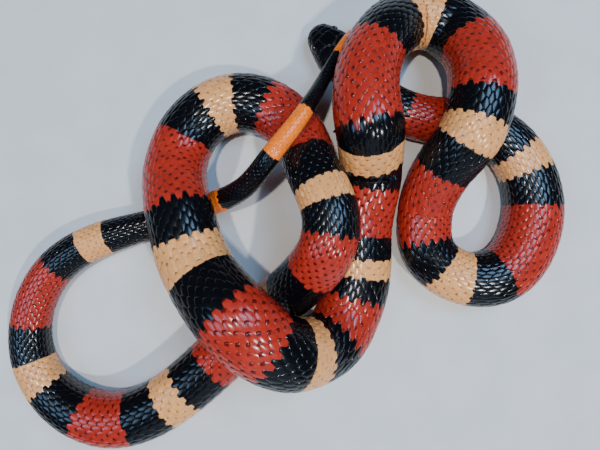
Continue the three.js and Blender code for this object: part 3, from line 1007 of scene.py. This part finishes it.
class Sheet:
    """A material's nodes, added and joined by short calls."""

    def __init__(self, name):
        self.material = bpy.data.materials.new(name)
        self.material.use_nodes = True
        self.nodes = self.material.node_tree.nodes
        self.shader = self.nodes["Principled BSDF"]

    def put(self, node, target, value):
        """Sets an input to a number, or joins an output to it."""
        socket = node.inputs[target]
        if isinstance(value, bpy.types.NodeSocket):
            self.material.node_tree.links.new(value, socket)
        else:
            socket.default_value = value

    def add(self, kind, inputs, **choices):
        """A new node with its choices set and its inputs set or joined."""
        node = self.nodes.new("ShaderNode" + kind)
        for name, choice in choices.items():
            setattr(node, name, choice)
        for target, value in inputs.items():
            self.put(node, target, value)
        return node.outputs

    def attribute(self, name, output="Fac"):
        return self.add("Attribute", {}, attribute_name=name)[output]

    def maths(self, operation, *values):
        return self.add("Math", dict(enumerate(values)), operation=operation)[0]

    def span(self, value, low, high, to_low=0.0, to_high=1.0):
        inputs = {"Value": value, "From Min": low, "From Max": high, "To Min": to_low, "To Max": to_high}
        return self.add("MapRange", inputs, interpolation_type="SMOOTHSTEP")["Result"]

    def mix(self, share, first, second, blend="MIX"):
        return self.add("Mix", {0: share, 6: first, 7: second}, data_type="RGBA", blend_type=blend)[2]

    def noise(self, scale, detail=3.0):
        """Noise on the piece's own coordinates, its scale in patches to the metre."""
        place = self.nodes.new("ShaderNodeTexCoord").outputs["Object"]
        return self.add("TexNoise", {"Vector": place, "Scale": scale, "Detail": detail})["Fac"]

    def cloud(self, scale, low, high):
        """Noise in soft patches, from a low to a high number."""
        return self.span(self.noise(scale), 0.3, 0.7, low, high)

    def mottle(self, colour, scale, low, high):
        """The colour, darker and lighter in soft patches."""
        return self.mix(1.0, colour, self.cloud(scale, low, high), "MULTIPLY")

    def ring_colour(self):
        """The colour before or after the nearest border of two rings."""
        past = self.span(self.attribute("edge"), -0.1, 0.1)
        return self.mix(past, self.attribute("tone", "Color"), self.attribute("tone_next", "Color"))

    def finish(self, colour, roughness):
        self.put(self.shader, "Base Color", colour)
        self.put(self.shader, "Roughness", roughness)

    def bump(self, height, strength, distance):
        inputs = {"Height": height, "Strength": strength, "Distance": distance}
        self.put(self.shader, "Normal", self.add("Bump", inputs)["Normal"])


TIP_COLOUR = (0.1, 0.006, 0.004, 1)
IRIS_DARK = (0.025, 0.009, 0.005, 1)
IRIS_LIGHT = (0.08, 0.03, 0.013, 1)
PUPIL_COLOUR = (0.002, 0.002, 0.002, 1)
BALL_COLOUR = (0.004, 0.004, 0.005, 1)
FLOOR_COLOUR = (0.62, 0.6, 0.57, 1)
SKY_COLOUR = (0.85, 0.92, 1, 1)


def scale_material():
    """Horn: the scale's own colour, mottled, with a dark tip that narrows headward and is smaller where it
    is fainter, under a satin gloss."""
    made = bpy.data.materials.get("scale_horn")
    if made:
        return made
    sheet = Sheet("scale_horn")
    base = sheet.mottle(sheet.ring_colour(), 900.0, 0.88, 1.1)
    width = sheet.maths("ABSOLUTE", sheet.attribute("aside"))
    reach = sheet.maths("MULTIPLY_ADD", width, -0.55, sheet.attribute("along"))
    strength = sheet.attribute("tip")
    reach = sheet.maths("MULTIPLY_ADD", strength, 0.3, reach)
    tip = sheet.maths("MULTIPLY", sheet.span(reach, 0.76, 1.02), strength)
    sheet.finish(sheet.mix(tip, base, TIP_COLOUR), sheet.cloud(350.0, 0.16, 0.24))
    sheet.put(sheet.shader, "Specular IOR Level", 0.35)
    sheet.bump(sheet.noise(5000.0, 2.0), 0.1, 0.03 * MM)
    return sheet.material


def skin_material():
    """Soft skin between the scales: the ring's colour, darker, with fine wrinkles."""
    sheet = Sheet("snake_skin")
    sheet.finish(sheet.mottle(sheet.ring_colour(), 1500.0, 0.7, 1.2), sheet.cloud(700.0, 0.45, 0.6))
    sheet.bump(sheet.noise(4000.0), 0.4, 0.1 * MM)
    return sheet.material


def eye_material():
    """A dark eye: black round pupil, mottled brown iris, wet gloss."""
    made = bpy.data.materials.get("snake_eye")
    if made:
        return made
    sheet = Sheet("snake_eye")
    gaze = sheet.attribute("gaze")
    iris = sheet.mix(sheet.span(sheet.noise(2500.0), 0.35, 0.65), IRIS_DARK, IRIS_LIGHT)
    middle = sheet.mix(sheet.span(gaze, 31.0, 34.0), PUPIL_COLOUR, iris)
    ball = sheet.mix(sheet.span(gaze, 56.0, 64.0), middle, BALL_COLOUR)
    sheet.finish(ball, sheet.cloud(900.0, 0.06, 0.1))
    sheet.put(sheet.shader, "Coat Weight", 1.0)
    sheet.put(sheet.shader, "Coat Roughness", 0.03)
    return sheet.material


def floor_material():
    """Matt pale board with the faintest clouds."""
    sheet = Sheet("pale_floor")
    sheet.finish(sheet.mottle(FLOOR_COLOUR, 60.0, 0.97, 1.03), 0.9)
    return sheet.material


FLOOR_SIZE = 1.5
LIGHTS = (
    # name, place, size, setting of its power, colour
    ("window", (0.24, 0.2, 0.56), 0.26, "window_power", (0.33, 0.61, 1)),
    ("lamp", (-0.1, 0.02, 0.75), 0.035, "lamp_power", (1, 0.95, 0.9)),
    ("second_lamp", (0.3, -0.3, 0.6), 0.035, "lamp_power", (0.9, 0.96, 1)),
    ("left_window", (-0.36, -0.12, 0.47), 0.24, "side_power", (0.33, 0.61, 1)),
    ("front_fill", (0.1, -0.62, 0.28), 0.6, "fill_power", (0.62, 0.8, 1)),
)
# Seeds of the random draws for the back, the belly and the head
BACK_SEED, BELLY_SEED, HEAD_SEED = 5, 6, 7


class SNAKE_OT_skin(bpy.types.Operator):
    """Make the skin under the scales, in place of the solid nodes of flesh."""

    bl_idname = "snake.skin"
    bl_label = "Skin"

    def execute(self, context):
        skin = build_skin(context.scene.snake, skin_material())
        flesh = [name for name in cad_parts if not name.startswith("eye_")]
        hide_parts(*flesh)
        return {"FINISHED"}


class SNAKE_OT_back_scales(bpy.types.Operator):
    """Make the scales of the back and sides, from the nape to the tip of the tail."""

    bl_idname = "snake.back_scales"
    bl_label = "Back scales"

    def execute(self, context):
        rng = np.random.default_rng(BACK_SEED)
        cuts = np.linspace(min(ROWS_BEGIN), BODY_LENGTH, COAT_PIECES + 1)
        for k, (low, high) in enumerate(zip(cuts[:-1], cuts[1:])):
            spots, cells = lattice(low, high)
            name = f"back_scales_{k + 1}"
            scales = build_scales(name, spots, cells, context.scene.snake, rng, scale_material())
        return {"FINISHED"}


class SNAKE_OT_belly(bpy.types.Operator):
    """Make the wide plates of the belly, the paired plates under the tail and the throat's small scales."""

    bl_idname = "snake.belly"
    bl_label = "Belly plates"

    def execute(self, context):
        rng = np.random.default_rng(BELLY_SEED)
        settings = context.scene.snake
        begin, vent, end = np.interp([BELLY_BEGIN, VENT, BODY_LENGTH - TAIL_END], LENGTH, COUNT)
        edge = DORSAL_SHARE - TUCK
        count = np.arange(begin, vent)
        start, stop = np.repeat([[edge], [1 - edge]], len(count), axis=1)
        belly = build_belly_plates("belly_plates", count, start, stop, settings, rng, scale_material())
        right = np.arange(count[-1] + 1, end)
        count = np.concatenate([right, right + 0.5])
        start = np.repeat([edge, 0.5 - TUCK / 2], len(right))
        stop = np.repeat([0.5 + TUCK / 2, 1 - edge], len(right))
        tail = build_belly_plates("tail_plates", count, start, stop, settings, rng, scale_material())
        spots, cells = throat_spots()
        throat = build_scales("throat_scales", spots, cells, settings, rng, scale_material())
        return {"FINISHED"}


class SNAKE_OT_head_shields(bpy.types.Operator):
    """Make the large shields of the head and lips."""

    bl_idname = "snake.head_shields"
    bl_label = "Head shields"

    def execute(self, context):
        shields = build_shields(context.scene.snake, np.random.default_rng(HEAD_SEED), scale_material())
        return {"FINISHED"}


class SNAKE_OT_eyes(bpy.types.Operator):
    """Make both eyes, in place of the solid eyes, the rims of skin round them, and the nostrils."""

    bl_idname = "snake.eyes"
    bl_label = "Eyes"

    def execute(self, context):
        for name, side in (("eye_left", -1), ("eye_right", 1)):
            eye = build_eye(name.replace("eye", "eyeball"), side, eye_material())
            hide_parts(name)
        for build in (build_eye_rims, build_nostrils):
            build(context.scene.snake, scale_material())
        return {"FINISHED"}


class SNAKE_OT_stage(bpy.types.Operator):
    """Make the floor, the lights and the camera."""

    bl_idname = "snake.stage"
    bl_label = "Stage"

    def execute(self, context):
        scene = context.scene
        settings = scene.snake
        mesh = bpy.data.meshes.new("floor")
        corners = np.array([(-1, -1, 0), (1, -1, 0), (1, 1, 0), (-1, 1, 0)]) * FLOOR_SIZE
        mesh.from_pydata(corners.tolist(), [], [(0, 1, 2, 3)])
        mesh.materials.append(floor_material())
        floor = bpy.data.objects.new("floor", mesh)
        scene.collection.objects.link(floor)
        scene.world = bpy.data.worlds.new("studio")
        scene.world.use_nodes = True
        background = scene.world.node_tree.nodes["Background"]
        background.inputs["Color"].default_value = SKY_COLOUR
        background.inputs["Strength"].default_value = settings.sky
        for name, place, size, power, colour in LIGHTS:
            light = bpy.data.lights.new(name, "AREA")
            light.energy = getattr(settings, power)
            light.size = size
            light.color = colour
            lamp = bpy.data.objects.new(name, light)
            scene.collection.objects.link(lamp)
            lamp.location = place
            lamp.rotation_euler = (-Vector(place)).to_track_quat("-Z", "Y").to_euler()
        lens = bpy.data.cameras.new("camera")
        lens.lens = CAMERA_LENS
        lens.sensor_width = CAMERA_SENSOR
        lens.clip_start = CAMERA_NEAR
        camera = bpy.data.objects.new("camera", lens)
        scene.collection.objects.link(camera)
        camera.location = Vector((*PICTURE_MIDDLE, CAMERA_HEIGHT)) * MM
        scene.camera = camera
        return {"FINISHED"}


class SNAKE_PT_panel(bpy.types.Panel):
    """The snake's settings and the steps that make it."""

    bl_label = "Milk snake"
    bl_idname = "SNAKE_PT_panel"
    bl_space_type = "VIEW_3D"
    bl_region_type = "UI"
    bl_category = "Snake"

    def draw(self, context):
        for name in SnakeSettings.__annotations__:
            self.layout.prop(context.scene.snake, name)
        for step in STEPS:
            self.layout.operator(step.bl_idname)


STEPS = (
    SNAKE_OT_skin,
    SNAKE_OT_back_scales,
    SNAKE_OT_belly,
    SNAKE_OT_head_shields,
    SNAKE_OT_eyes,
    SNAKE_OT_stage,
)
CLASSES = (SnakeSettings, *STEPS, SNAKE_PT_panel)


def register():
    for item in CLASSES:
        bpy.utils.register_class(item)
    bpy.types.Scene.snake = PointerProperty(type=SnakeSettings)


def unregister():
    del bpy.types.Scene.snake
    for item in reversed(CLASSES):
        bpy.utils.unregister_class(item)


def main():
    register()
    for step in STEPS:
        group, name = step.bl_idname.split(".")
        getattr(getattr(bpy.ops, group), name)()


if __name__ == "__main__":
    main()
